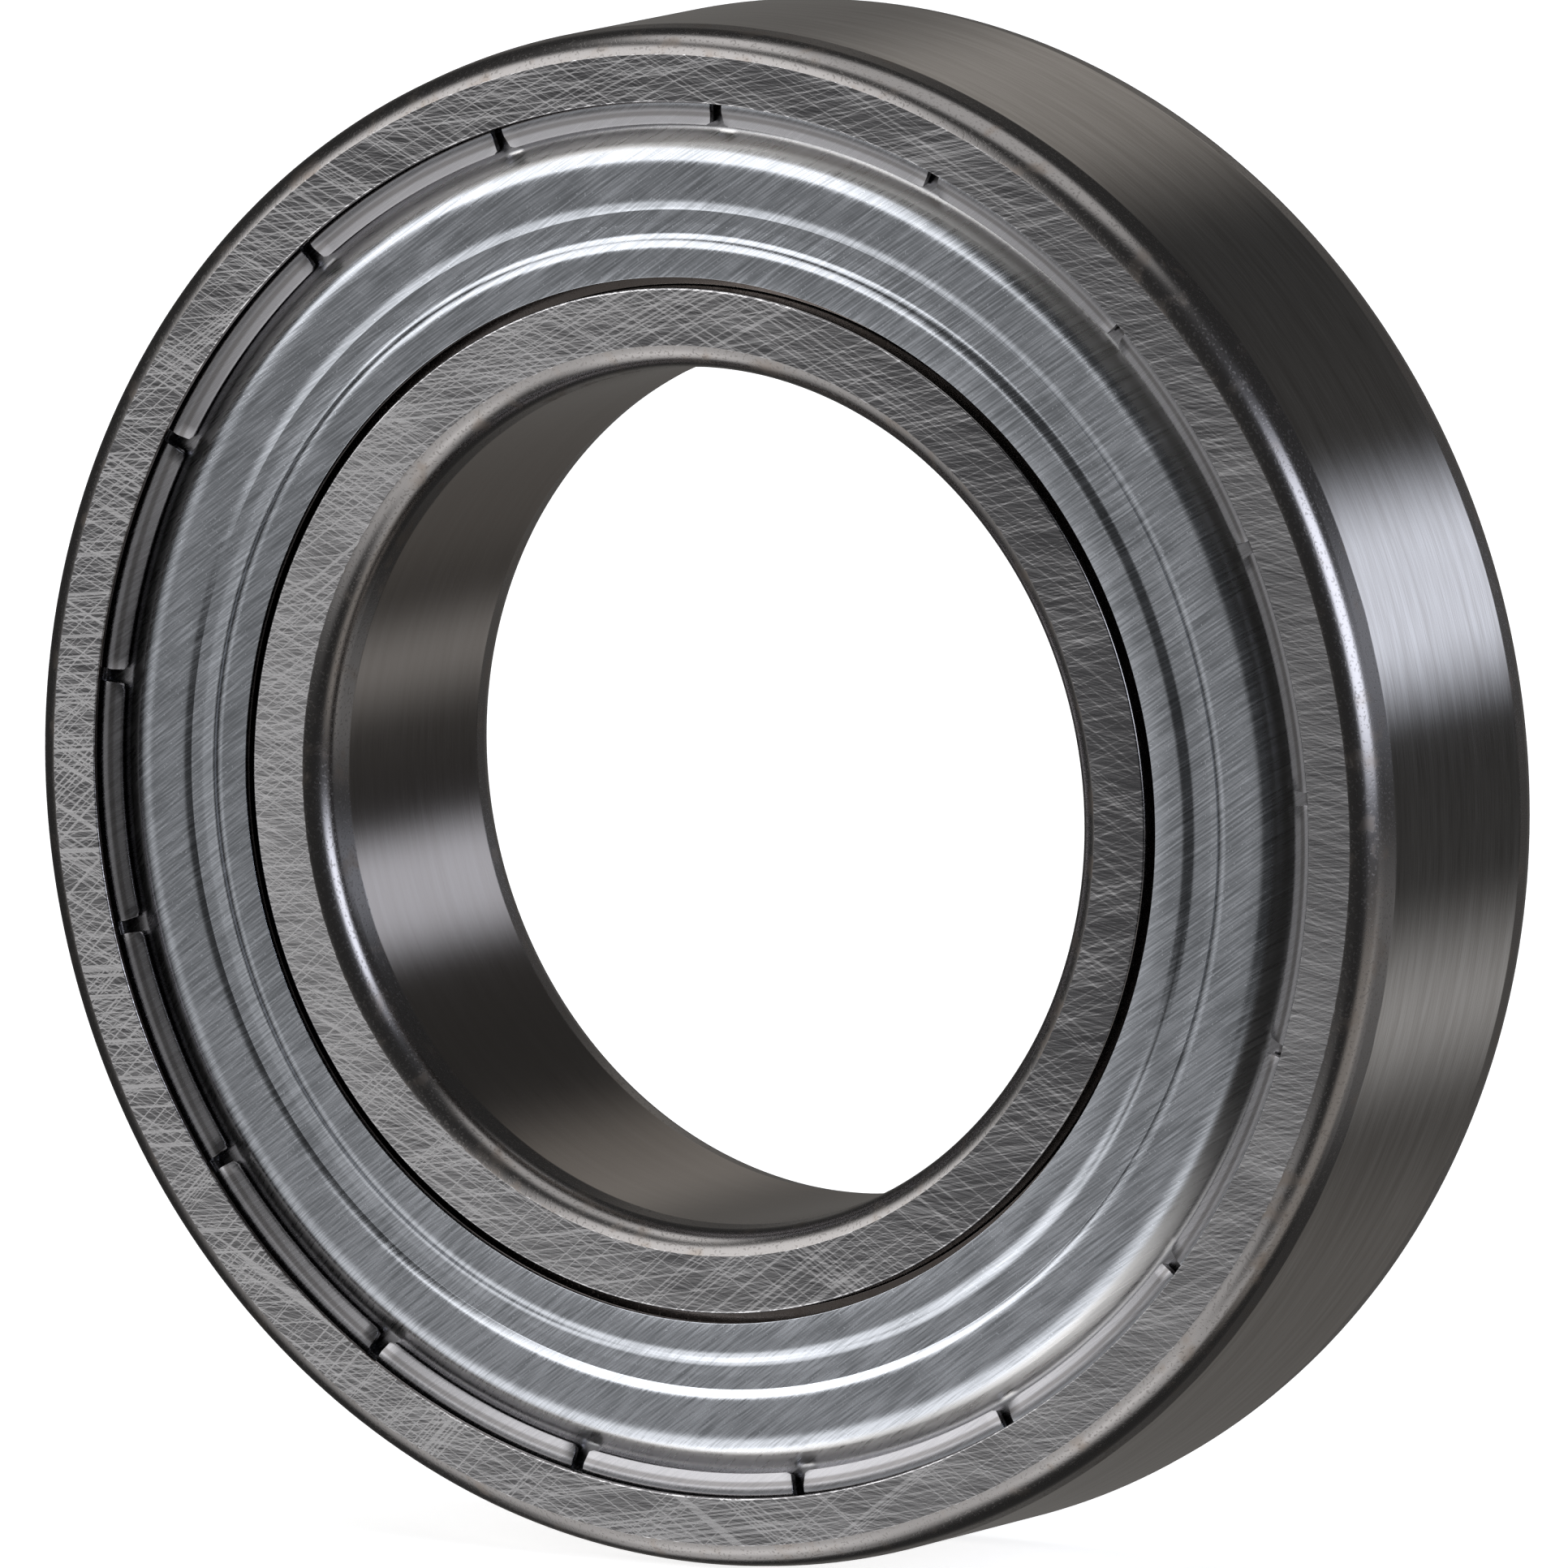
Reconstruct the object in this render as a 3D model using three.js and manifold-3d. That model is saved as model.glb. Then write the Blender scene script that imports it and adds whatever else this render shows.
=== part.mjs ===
// Shielded deep groove ball bearing, 50 x 90 x 20 mm.
//
// Units are millimetres. The bearing's axis lies along Y, its front face looks towards -Y,
// Z is up, and the origin is the centre of the bearing. Radii are measured from the axis.

import * as THREE from 'three';
import * as BufferGeometryUtils from 'three/addons/utils/BufferGeometryUtils.js';
import Module from 'manifold-3d';

const wasm = await Module();
wasm.setup();

// Boundary dimensions.
const BORE_RADIUS = 25;
const OUTER_RADIUS = 45;
const HALF_WIDTH = 10;

// Rolling elements.
const BALL_COUNT = 10;
const BALL_RADIUS = 6.35;
const PITCH_RADIUS = 35;
const BALL_GAP = 0.3;

// Edges of the rings: a corner that leans into the ground cylinder.
const CORNER_RADIAL = 1.55;
const CORNER_AXIAL = 1.2;
const LEAD_RADIAL = 0.15;
const LEAD_AXIAL = 2.7;

// Outer ring.
const OUTER_SHOULDER_RADIUS = 38.9;
const OUTER_LIP_RADIUS = 40.7;
const SHIELD_GROOVE_RADIUS = 41.9;
const SHIELD_SEAT_DEPTH = 2.4;
const SHIELD_GROOVE_TOP = 0.6;
const LIP_DEPTH = 0.3;

// Inner ring.
const INNER_SHOULDER_RADIUS = 31.25;
const INNER_FACE_RADIUS = 29.9;
const INNER_STEP_DEPTH = 1.7;

// Shields: pressed sheet, with its rim curled outwards into the outer ring's groove.
const SHEET = 0.45;
const SHIELD_INNER_RADIUS = 30.5;
const CURL_CENTRE_RADIUS = 40.75;
const CURL_RADIUS = 0.525;
const CURL_DEPTH = 1.35;
const TAB_EDGE_RADIUS = 39.4;
const TAB_EDGE_DEPTH = 1.1;

// Cage: two pressed ribbons with a round pocket for each ball, riveted between the balls.
const CAGE_INNER_RADIUS = 32.6;
const CAGE_OUTER_RADIUS = 37.4;
const CAGE_THICKNESS = 0.85;
const CAGE_JOINT_GAP = 0.15;
const POCKET_RADIUS = BALL_RADIUS + BALL_GAP;
const POCKET_STEPS = 8;
const RIVET_RADIUS = 1.1;
const RIVET_HOLE_RADIUS = 1.4;
const RIVET_HEAD_RADIUS = 1.9;
const RIVET_HEAD_HEIGHT = 0.8;
const RIVET_HEAD_GAP = 0.3;

// Facets.
const RING_STEPS = 40;
const RACEWAY_HALF_STEPS = 4;
const CURL_STEPS = 4;
const BALL_STEPS = 12;
const BALL_RINGS = 8;
const RIVET_STEPS = 8;

const BALL_ANGLE = 2 * Math.PI / BALL_COUNT;

const ringSteel = { color: 0x6b6765, roughness: 0.32, metalness: 1 };
const shieldSteel = { color: 0x84898a, roughness: 0.38, metalness: 1 };
const cageSteel = { color: 0x8f8c86, roughness: 0.45, metalness: 1 };
const ballSteel = { color: 0xb4b4b6, roughness: 0.12, metalness: 1 };
const rivetSteel = { color: 0x9a968e, roughness: 0.4, metalness: 1 };

function finish(look) {
  return new THREE.MeshStandardMaterial(look);
}

// A point of a ring's section: its radius, and its distance along the axis.
function at(radius, y) {
  return new THREE.Vector2(radius, y);
}

// Mirrors a half section, drawn on the front side of the mid plane, to the rear side. The mirrored
// points come in reverse order, so the two halves make one closed outline.
function mirrored(half) {
  const rear = half.map((point) => at(point.x, -point.y)).reverse();
  return half.concat(rear);
}

// Turns a closed section about Y into a ring.
function turned(outline) {
  return new THREE.LatheGeometry(outline.concat([outline[0].clone()]), RING_STEPS);
}

// The front half of a raceway's section: an arc about the ball's centre, from near the middle of
// the raceway to its shoulder. Side is 1 on the outer ring and -1 on the inner ring.
function racewayHalf(shoulderRadius, side) {
  const sweep = Math.acos(Math.abs(shoulderRadius - PITCH_RADIUS) / POCKET_RADIUS);
  const points = [];
  for (let step = 0; step < RACEWAY_HALF_STEPS; step += 1) {
    const angle = sweep * (step + 0.5) / (RACEWAY_HALF_STEPS - 0.5);
    const radius = PITCH_RADIUS + side * POCKET_RADIUS * Math.cos(angle);
    points.push(at(radius, -POCKET_RADIUS * Math.sin(angle)));
  }
  return points;
}

function outerRing() {
  const face = -HALF_WIDTH;
  const seat = face + SHIELD_SEAT_DEPTH;
  const half = [
    ...racewayHalf(OUTER_SHOULDER_RADIUS, 1),
    at(OUTER_SHOULDER_RADIUS, seat),
    at(SHIELD_GROOVE_RADIUS, seat),
    at(SHIELD_GROOVE_RADIUS, face + SHIELD_GROOVE_TOP),
    at(OUTER_LIP_RADIUS, face + LIP_DEPTH),
    at(OUTER_LIP_RADIUS, face),
    at(OUTER_RADIUS - CORNER_RADIAL, face),
    at(OUTER_RADIUS - LEAD_RADIAL, face + CORNER_AXIAL),
    at(OUTER_RADIUS, face + LEAD_AXIAL),
  ];
  return turned(mirrored(half));
}

function innerRing() {
  const face = -HALF_WIDTH;
  const half = [
    ...racewayHalf(INNER_SHOULDER_RADIUS, -1),
    at(INNER_SHOULDER_RADIUS, face + INNER_STEP_DEPTH),
    at(INNER_FACE_RADIUS, face + INNER_STEP_DEPTH),
    at(INNER_FACE_RADIUS, face),
    at(BORE_RADIUS + CORNER_RADIAL, face),
    at(BORE_RADIUS + LEAD_RADIAL, face + CORNER_AXIAL),
    at(BORE_RADIUS, face + LEAD_AXIAL),
  ];
  return turned(mirrored(half).reverse());
}

// The curled rim of a shield: half a turn from the flange, round the groove, back to the tabs.
function rimCurl() {
  const points = [];
  for (let step = 0; step <= CURL_STEPS; step += 1) {
    const angle = Math.PI * (0.5 - step / CURL_STEPS);
    const radius = CURL_CENTRE_RADIUS + CURL_RADIUS * Math.cos(angle);
    points.push([radius, CURL_DEPTH + CURL_RADIUS * Math.sin(angle)]);
  }
  return points;
}

// The middle of the shield's sheet as radius and depth below the ring faces: a flat lip at the
// bore, a shallow channel, the broad land, the wall down to the flange, and the curled rim.
function shieldLine() {
  return [
    [SHIELD_INNER_RADIUS, 0.375],
    [32.4, 0.375],
    [32.8, 0.615],
    [34.5, 0.675],
    [35.1, 0.525],
    [37.2, 0.475],
    [37.7, 0.8],
    [38.7, 1.75],
    [39.2, CURL_DEPTH + CURL_RADIUS],
    ...rimCurl(),
    [TAB_EDGE_RADIUS, TAB_EDGE_DEPTH],
  ];
}

// Moves a line sideways by a distance, with a mitre at each corner.
function offsetLine(line, distance) {
  return line.map((point, index) => {
    const before = line[Math.max(index - 1, 0)];
    const after = line[Math.min(index + 1, line.length - 1)];
    const arrive = new THREE.Vector2().subVectors(point, before).normalize();
    const leave = new THREE.Vector2().subVectors(after, point).normalize();
    const along = arrive.clone().add(leave).normalize();
    const turn = Math.max(along.dot(arrive), along.dot(leave));
    return at(point.x - along.y * distance / turn, point.y + along.x * distance / turn);
  });
}

// Side is -1 for the front shield and 1 for the rear one.
function shield(side) {
  const middle = shieldLine().map(([radius, depth]) => at(radius, depth - HALF_WIDTH));
  const outside = offsetLine(middle, -SHEET / 2);
  const inside = offsetLine(middle, SHEET / 2);
  const section = outside.concat(inside.reverse());
  if (side < 0) {
    return turned(section);
  }
  return turned(section.map((point) => at(point.x, -point.y)).reverse());
}

function ball() {
  return new THREE.SphereGeometry(BALL_RADIUS, BALL_STEPS, BALL_RINGS);
}

// One pitch of the front cage ribbon, as pairs of points in the (arc angle, y) plane: the first of
// a pair faces the balls, the second faces away from them.
function ribbonPitch() {
  const innerStart = Math.asin(CAGE_JOINT_GAP / POCKET_RADIUS);
  const backRadius = POCKET_RADIUS + CAGE_THICKNESS;
  const backStart = Math.asin((CAGE_JOINT_GAP + CAGE_THICKNESS) / backRadius);
  const pairs = [];
  for (let step = 0; step <= POCKET_STEPS; step += 1) {
    const part = step / POCKET_STEPS;
    const near = innerStart + part * (Math.PI - 2 * innerStart);
    const back = backStart + part * (Math.PI - 2 * backStart);
    pairs.push([
      { along: -POCKET_RADIUS * Math.cos(near) / PITCH_RADIUS, y: -POCKET_RADIUS * Math.sin(near) },
      { along: -backRadius * Math.cos(back) / PITCH_RADIUS, y: -backRadius * Math.sin(back) },
    ]);
  }
  return pairs;
}

function ringPoint(radius, angle, y) {
  return [radius * Math.cos(angle), y, radius * Math.sin(angle)];
}

// The ribbon goes round through every pocket. Each station has four corners: near and back of the
// sheet, at the inner and the outer edge.
function cageRibbon() {
  const positions = [];
  for (let pocket = 0; pocket < BALL_COUNT; pocket += 1) {
    for (const [near, back] of ribbonPitch()) {
      const centre = pocket * BALL_ANGLE;
      positions.push(
        ...ringPoint(CAGE_INNER_RADIUS, centre + near.along, near.y),
        ...ringPoint(CAGE_OUTER_RADIUS, centre + near.along, near.y),
        ...ringPoint(CAGE_OUTER_RADIUS, centre + back.along, back.y),
        ...ringPoint(CAGE_INNER_RADIUS, centre + back.along, back.y),
      );
    }
  }
  const stations = positions.length / 12;
  const index = [];
  for (let station = 0; station < stations; station += 1) {
    const here = station * 4;
    const next = (station + 1) % stations * 4;
    for (let corner = 0; corner < 4; corner += 1) {
      const across = (corner + 1) % 4;
      index.push(here + corner, next + across, here + across);
      index.push(here + corner, next + corner, next + across);
    }
  }
  const geometry = new THREE.BufferGeometry();
  geometry.setAttribute('position', new THREE.Float32BufferAttribute(positions, 3));
  geometry.setIndex(index);
  return geometry;
}

function toSolid(geometry) {
  const bare = geometry.clone();
  bare.deleteAttribute('normal');
  bare.deleteAttribute('uv');
  const merged = BufferGeometryUtils.mergeVertices(bare, 1e-4);
  return new wasm.Manifold(new wasm.Mesh({
    numProp: 3,
    vertProperties: new Float32Array(merged.attributes.position.array),
    triVerts: new Uint32Array(merged.index.array),
  }));
}

function toGeometry(solid) {
  const mesh = solid.getMesh();
  const geometry = new THREE.BufferGeometry();
  geometry.setAttribute('position', new THREE.BufferAttribute(mesh.vertProperties, 3));
  geometry.setIndex(new THREE.BufferAttribute(mesh.triVerts, 1));
  geometry.computeVertexNormals();
  return geometry;
}

// The angle of the rivet between one ball and the next.
function rivetAngle(index) {
  return (index + 0.5) * BALL_ANGLE;
}

// The front half of the cage, with a hole for each rivet.
function frontCageHalf() {
  let half = toSolid(cageRibbon());
  for (let index = 0; index < BALL_COUNT; index += 1) {
    const drill = 4 * CAGE_THICKNESS;
    const hole = new THREE.CylinderGeometry(RIVET_HOLE_RADIUS, RIVET_HOLE_RADIUS, drill, RIVET_STEPS);
    hole.translate(...ringPoint(PITCH_RADIUS, rivetAngle(index), -CAGE_THICKNESS / 2));
    half = half.subtract(toSolid(hole));
  }
  return toGeometry(half);
}

// A rivet along Y: a shank with a low round head at each end.
function rivet() {
  const seat = CAGE_JOINT_GAP + CAGE_THICKNESS + RIVET_HEAD_GAP;
  const crown = seat + RIVET_HEAD_HEIGHT;
  const outline = [
    at(0, -crown),
    at(RIVET_HEAD_RADIUS / 2, -crown),
    at(RIVET_HEAD_RADIUS, -seat),
    at(RIVET_RADIUS, -seat),
    at(RIVET_RADIUS, seat),
    at(RIVET_HEAD_RADIUS, seat),
    at(RIVET_HEAD_RADIUS / 2, crown),
    at(0, crown),
  ];
  return new THREE.LatheGeometry(outline, RIVET_STEPS);
}

const group = new THREE.Group();

function add(name, geometry, look, place = [0, 0, 0]) {
  const mesh = new THREE.Mesh(geometry, finish(look));
  mesh.name = name;
  mesh.position.set(...place);
  group.add(mesh);
  return mesh;
}

function numbered(name, index) {
  return `${name}_${String(index + 1).padStart(2, '0')}`;
}

add('outer_ring', outerRing(), ringSteel);
add('inner_ring', innerRing(), ringSteel);
add('front_shield', shield(-1), shieldSteel);
add('rear_shield', shield(1), shieldSteel);

const cageHalf = frontCageHalf();
add('cage_half_front', cageHalf, cageSteel);
add('cage_half_rear', cageHalf, cageSteel).rotation.x = Math.PI;

for (let index = 0; index < BALL_COUNT; index += 1) {
  add(numbered('cage_rivet', index), rivet(), rivetSteel, ringPoint(PITCH_RADIUS, rivetAngle(index), 0));
}
for (let index = 0; index < BALL_COUNT; index += 1) {
  add(numbered('ball', index), ball(), ballSteel, ringPoint(PITCH_RADIUS, index * BALL_ANGLE, 0));
}

export default group;
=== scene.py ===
"""Shielded deep groove ball bearing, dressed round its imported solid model.

The bearing's axis lies along Y, its front face looks towards -Y and Z is up. Blender's lengths
are metres. Sections and finishes are written in millimetres and scaled by MM.
"""
import math

import bmesh
import bpy
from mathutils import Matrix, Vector


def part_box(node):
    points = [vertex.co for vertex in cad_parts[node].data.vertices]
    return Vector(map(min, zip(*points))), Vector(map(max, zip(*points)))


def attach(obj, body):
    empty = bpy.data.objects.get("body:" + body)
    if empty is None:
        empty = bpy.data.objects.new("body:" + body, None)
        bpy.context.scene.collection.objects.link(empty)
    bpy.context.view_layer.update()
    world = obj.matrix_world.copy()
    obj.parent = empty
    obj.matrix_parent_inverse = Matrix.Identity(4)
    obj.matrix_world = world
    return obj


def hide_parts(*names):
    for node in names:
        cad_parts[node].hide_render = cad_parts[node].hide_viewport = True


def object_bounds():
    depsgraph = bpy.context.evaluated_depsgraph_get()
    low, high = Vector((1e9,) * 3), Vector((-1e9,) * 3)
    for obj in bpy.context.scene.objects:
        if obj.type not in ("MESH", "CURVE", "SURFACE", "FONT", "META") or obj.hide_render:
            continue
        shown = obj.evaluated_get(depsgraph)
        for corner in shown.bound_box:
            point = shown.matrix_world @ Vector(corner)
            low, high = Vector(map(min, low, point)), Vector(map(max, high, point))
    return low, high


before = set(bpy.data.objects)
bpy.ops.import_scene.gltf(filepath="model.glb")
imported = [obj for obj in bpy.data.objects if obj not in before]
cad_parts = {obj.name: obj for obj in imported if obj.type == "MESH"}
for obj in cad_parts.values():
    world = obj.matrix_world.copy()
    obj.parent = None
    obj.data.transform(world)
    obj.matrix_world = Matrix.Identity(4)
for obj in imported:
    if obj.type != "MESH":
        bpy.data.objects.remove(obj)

cad_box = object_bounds()


# ---------------------------------------------------------------------------------------------
# Outer ring: through-hardened bearing steel, turned all over, then ground on the outside, the
# side faces and the raceway. Its corners, the slight lead behind them and the grooves that hold
# the shields stay as turned and hardened. It stands still in its housing.
# ---------------------------------------------------------------------------------------------
MM = 0.001


class Wire:
    """One output of a node. Arithmetic on it adds Math nodes to the same tree."""

    def __init__(self, plan, made, output):
        self.plan = plan
        self.made = made
        self.socket = made.outputs[output]

    def out(self, output):
        return Wire(self.plan, self.made, output)

    def math(self, operation, first, second=0.0):
        return self.plan.node("ShaderNodeMath", {"operation": operation}, {0: first, 1: second})

    def __add__(self, other):
        return self.math("ADD", self, other)

    def __radd__(self, other):
        return self.math("ADD", other, self)

    def __sub__(self, other):
        return self.math("SUBTRACT", self, other)

    def __rsub__(self, other):
        return self.math("SUBTRACT", other, self)

    def __mul__(self, other):
        return self.math("MULTIPLY", self, other)

    def __rmul__(self, other):
        return self.math("MULTIPLY", other, self)

    def __truediv__(self, other):
        return self.math("DIVIDE", self, other)

    def __rtruediv__(self, other):
        return self.math("DIVIDE", other, self)

    def __pow__(self, other):
        return self.math("POWER", self, other)

    def __abs__(self):
        return self.math("ABSOLUTE", self)

    def at_least(self, other):
        return self.math("MAXIMUM", self, other)

    def rise(self, low, high):
        """0 up to low, 1 from high on, and a smooth step between. A low above high falls."""
        settings = {"interpolation_type": "SMOOTHSTEP"}
        return self.plan.node("ShaderNodeMapRange", settings, {0: self, 1: low, 2: high})


class Plan:
    """A node tree while it is laid out."""

    def __init__(self, tree):
        self.tree = tree

    def node(self, kind, settings=None, sockets=None, output=0):
        made = self.tree.nodes.new(kind)
        for name, value in (settings or {}).items():
            setattr(made, name, value)
        for name, value in (sockets or {}).items():
            if isinstance(value, Wire):
                self.tree.links.new(value.socket, made.inputs[name])
            else:
                made.inputs[name].default_value = value
        return Wire(self, made, output) if len(made.outputs) else made

    def vector(self, x, y, z):
        return self.node("ShaderNodeCombineXYZ", {}, {0: x, 1: y, 2: z})

    def vector_math(self, operation, first, second, output=0):
        settings = {"operation": operation}
        return self.node("ShaderNodeVectorMath", settings, {0: first, 1: second}, output)

    def blend(self, factor, first, second):
        settings = {"data_type": "RGBA"}
        return self.node("ShaderNodeMix", settings, {0: factor, 6: first, 7: second}, 2)


class ShapePlan(Plan):
    """A Geometry Nodes tree with named inputs. Its result is realized, merged and finished."""

    KINDS = {
        "Geometry": "Geometry",
        "Material": "Material",
        "Steps": "Int",
        "Count": "Int",
        "Columns": "Int",
    }
    MERGE_DISTANCE = 0.0005 * MM

    def __init__(self, name, *inputs):
        super().__init__(bpy.data.node_groups.new(name, "GeometryNodeTree"))
        face = self.tree.interface
        face.new_socket("Geometry", in_out="OUTPUT", socket_type="NodeSocketGeometry")
        for socket in ("Geometry", *inputs, "Material"):
            kind = "NodeSocket" + self.KINDS.get(socket, "Float")
            face.new_socket(socket, in_out="INPUT", socket_type=kind)
        self.given = self.node("NodeGroupInput")

    def deliver(self, geometry):
        real = self.node("GeometryNodeRealizeInstances", {}, {0: geometry})
        merged = self.node("GeometryNodeMergeByDistance", {}, {0: real, "Distance": self.MERGE_DISTANCE})
        material = self.given.out("Material")
        done = self.node("GeometryNodeSetMaterial", {}, {0: merged, "Material": material})
        self.node("NodeGroupOutput", {}, {0: done})
        return self.tree


def on_section(plan, section, row):
    """The place on a section line that a row of the turned grid takes: radius, then axial place."""
    drawn = plan.node("GeometryNodeInputPosition")
    picked = plan.node(
        "GeometryNodeSampleIndex", {"data_type": "FLOAT_VECTOR"}, {0: section, "Value": drawn, "Index": row}
    )
    return plan.node("ShaderNodeSeparateXYZ", {}, {0: picked})


def around_axis(plan, radius, axial, angle):
    return plan.vector(radius * angle.math("COSINE", angle), axial, radius * angle.math("SINE", angle))


def ring_tree():
    """Turns a section line, drawn as radius and axial place, about Y."""
    plan = ShapePlan("turned_ring", "Steps")
    section, steps = plan.given.out("Geometry"), plan.given.out("Steps")
    columns = steps + 1
    rows = plan.node("GeometryNodeAttributeDomainSize", {"component": "MESH"}, {0: section})
    grid = plan.node("GeometryNodeMeshGrid", {}, {"Vertices X": rows, "Vertices Y": columns})
    index = plan.node("GeometryNodeInputIndex")
    row = index.math("FLOOR", (index + 0.5) / columns)
    angle = (index - row * columns) * math.tau / steps
    place = on_section(plan, section, row)
    turned = around_axis(plan, place, place.out(1), angle)
    moved = plan.node("GeometryNodeSetPosition", {}, {0: grid, "Position": turned})
    return plan.deliver(moved)


def line_mesh(name, points, values=None):
    """A line of points as a mesh, with one number kept on each point if it is given."""
    mesh = bpy.data.meshes.new(name)
    edges = [(index, index + 1) for index in range(len(points) - 1)]
    mesh.from_pydata([(x * MM, y * MM, 0) for x, y in points], edges, [])
    if values:
        kept = mesh.attributes.new("from_edge", "FLOAT", "POINT")
        kept.data.foreach_set("value", [value * MM for value in values])
    return mesh


def shaped(name, tree, start, modifiers=(), **sizes):
    """Runs a tree, and any finishing modifiers, on a start mesh, and keeps the plain result."""
    made = bpy.data.objects.new(name, start)
    bpy.context.scene.collection.objects.link(made)
    shaper = made.modifiers.new(tree.name, "NODES")
    shaper.node_group = tree
    sockets = {item.name: item.identifier for item in tree.interface.items_tree if item.in_out == "INPUT"}
    for size, value in sizes.items():
        shaper[sockets[size]] = value
    for kind, settings in modifiers:
        finishing = made.modifiers.new(kind, kind)
        for setting, value in settings.items():
            setattr(finishing, setting, value)
    view = bpy.context.evaluated_depsgraph_get()
    mesh = bpy.data.meshes.new_from_object(made.evaluated_get(view), depsgraph=view)
    made.modifiers.clear()
    work = bmesh.new()
    work.from_mesh(mesh)
    bmesh.ops.recalc_face_normals(work, faces=work.faces)
    for face in work.faces:
        face.smooth = True
        face.material_index = 0
    work.to_mesh(mesh)
    work.free()
    mesh.name = name
    mesh.materials.clear()
    mesh.materials.append(sizes["Material"])
    made.data = mesh
    return made


def eased(corners, closed=True):
    """Rounds the corners of a section, each given as (along X, along Y, easing radius).

    Each bend is an arc with a close point before and after it, so that the flat stretches
    next to it stay flat when they are shaded.
    """
    arc_step = math.radians(11)
    support = 0.04
    line = []
    for index, (x, y, ease) in enumerate(corners):
        here = Vector((x, y))
        if not ease:
            line.append(here)
            continue
        arrive = (here - Vector(corners[index - 1][:2])).normalized()
        leave = (Vector(corners[(index + 1) % len(corners)][:2]) - here).normalized()
        turn = math.atan2(arrive.x * leave.y - arrive.y * leave.x, arrive.dot(leave))
        aside = Vector((-arrive.y, arrive.x)) * math.copysign(1, turn)
        start = here - arrive * ease * math.tan(abs(turn) / 2)
        steps = max(2, math.ceil(abs(turn) / arc_step))
        line.append(start - arrive * support)
        for step in range(steps + 1):
            part = abs(turn) * step / steps
            line.append(start + ease * (math.sin(part) * arrive + (1 - math.cos(part)) * aside))
        line.append(line[-1] + leave * support)
    return line + line[:1] if closed else line


def both_sides(half):
    """Continues a half section, drawn on the front side, with its mirror image at the rear."""
    return half + [(x, -y, ease) for x, y, ease in reversed(half)]


def raceway(shoulder, side):
    """The front half of a raceway groove, a little wider than the balls that run in it."""
    groove = RACEWAY_FIT * BALL_RADIUS
    centre = PITCH_RADIUS + side * (BALL_RADIUS + RUNNING_CLEARANCE - groove)
    sweep = math.acos(side * (shoulder - centre) / groove)
    turns = [sweep * (step + 0.5) / (RACEWAY_STEPS - 0.5) for step in range(RACEWAY_STEPS)]
    return [(centre + side * groove * math.cos(turn), -groove * math.sin(turn), 0) for turn in turns]


class Finish(Plan):
    """A procedural finish on Object coordinates, measured in millimetres."""

    def __init__(self, name):
        self.material = bpy.data.materials.new(name)
        self.material.use_nodes = True
        super().__init__(self.material.node_tree)
        self.tree.nodes.clear()
        found = self.node("ShaderNodeTexCoord", {}, {}, "Object")
        self.place = self.vector_math("MULTIPLY", found, (1000, 1000, 1000))
        self.x = self.node("ShaderNodeSeparateXYZ", {}, {0: self.place})
        self.y = self.x.out(1)
        self.z = self.x.out(2)
        self.radius = (self.x * self.x + self.z * self.z) ** 0.5

    def noise(self, dimensions, place, detail):
        settings = {"noise_dimensions": dimensions}
        return self.node("ShaderNodeTexNoise", settings, {"Vector": place, "Scale": 1.0, "Detail": detail})

    def grain(self, lengths, seed, detail=0.0):
        """Noise whose grains are so many millimetres long in x, y and z."""
        scale = tuple(1 / length for length in lengths)
        scaled = self.vector_math("MULTIPLY", self.place, scale)
        return self.noise("3D", self.vector_math("ADD", scaled, (seed, seed, seed)), detail)

    def scratches(self, lean, length, width, seed, bow=0.0):
        """Noise drawn out into strokes across the axis, leaning so many degrees from X.

        Length and width are in millimetres. A bow curves the strokes a little.
        """
        cosine, sine = math.cos(math.radians(lean)), math.sin(math.radians(lean))
        along = self.x * cosine + self.z * sine
        across = self.z * cosine - self.x * sine
        if bow:
            across = across + along * along * bow
        return self.noise("2D", self.vector(along / length + seed, across / width, 0.0), 0.0)

    def steel(self, color, roughness, height, depth):
        """Closes the finish: bare metal, with a height field in millimetres as its relief."""
        bump = self.node(
            "ShaderNodeBump", {}, {"Strength": 1.0, "Distance": depth * MM, "Height": height}
        )
        shader = self.node(
            "ShaderNodeBsdfPrincipled",
            {},
            {"Base Color": color, "Metallic": 1.0, "Roughness": roughness, "Normal": bump},
        )
        self.node("ShaderNodeOutputMaterial", {}, {"Surface": shader})
        return self.material


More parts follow.
